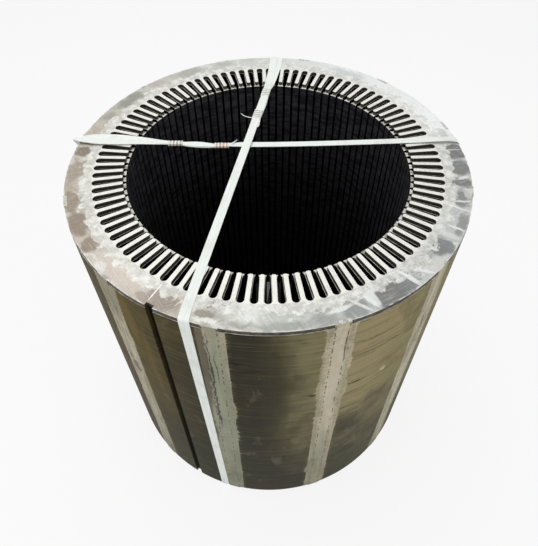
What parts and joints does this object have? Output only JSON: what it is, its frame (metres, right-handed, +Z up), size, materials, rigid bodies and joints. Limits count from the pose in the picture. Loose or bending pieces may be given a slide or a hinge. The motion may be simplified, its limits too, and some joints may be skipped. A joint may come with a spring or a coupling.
{
  "type": "stator core",
  "caption": "Laminated stator core standing on end, with semi-closed slots, end plates with pressing fingers, welded tie bars, a keyway and two packing straps.",
  "frame": {"origin": "on the bore axis, in the plane that the straps' undersides rest on", "axes": "+Z up along the bore axis; -Y towards the side that the picture shows from in front, +X to its right"},
  "size_m": [0.74, 0.7415, 0.7374],
  "materials": {
    "lamination_steel": "dark oxide-coated sheet steel edges",
    "ground_bar": "ground bare steel with fine scratches",
    "ground_weld": "weld ground flat, with pores",
    "plate_steel": "bare steel, brushed and stained",
    "strap_cord": "white woven polyester strap",
    "seal_plastic": "pale seal, slightly pink"
  },
  "bodies": {
    "root": {"lamination_block_01": "lamination_steel", "lamination_block_02": "lamination_steel", "lamination_block_03": "lamination_steel", "lamination_block_04": "lamination_steel", "lamination_block_05": "lamination_steel", "lamination_block_06": "lamination_steel", "lamination_block_07": "lamination_steel", "lamination_block_08": "lamination_steel", "lamination_block_09": "lamination_steel", "lamination_block_10": "lamination_steel", "lamination_block_11": "lamination_steel", "lamination_block_12": "lamination_steel", "tie_bar_01": "ground_bar", "tie_bar_02": "ground_bar", "tie_bar_03": "ground_bar", "tie_bar_04": "ground_bar", "tie_bar_05": "ground_bar", "tie_bar_06": "ground_bar", "tie_bar_07": "ground_bar", "tie_bar_08": "ground_bar", "tie_bar_09": "ground_bar", "tie_bar_10": "ground_bar", "tie_bar_11": "ground_bar", "tie_bar_12": "ground_bar", "weld_pair_01": "ground_weld", "weld_pair_02": "ground_weld", "weld_pair_03": "ground_weld", "weld_pair_04": "ground_weld", "weld_pair_05": "ground_weld", "weld_pair_06": "ground_weld", "weld_pair_07": "ground_weld", "weld_pair_08": "ground_weld", "weld_pair_09": "ground_weld", "weld_pair_10": "ground_weld", "weld_pair_11": "ground_weld", "weld_pair_12": "ground_weld", "top_end_plate": "plate_steel", "bottom_end_plate": "plate_steel", "strap_a": "strap_cord", "strap_b": "strap_cord", "strap_a_seals": "seal_plastic", "strap_b_seals": "seal_plastic"}
  },
  "joints": []
}
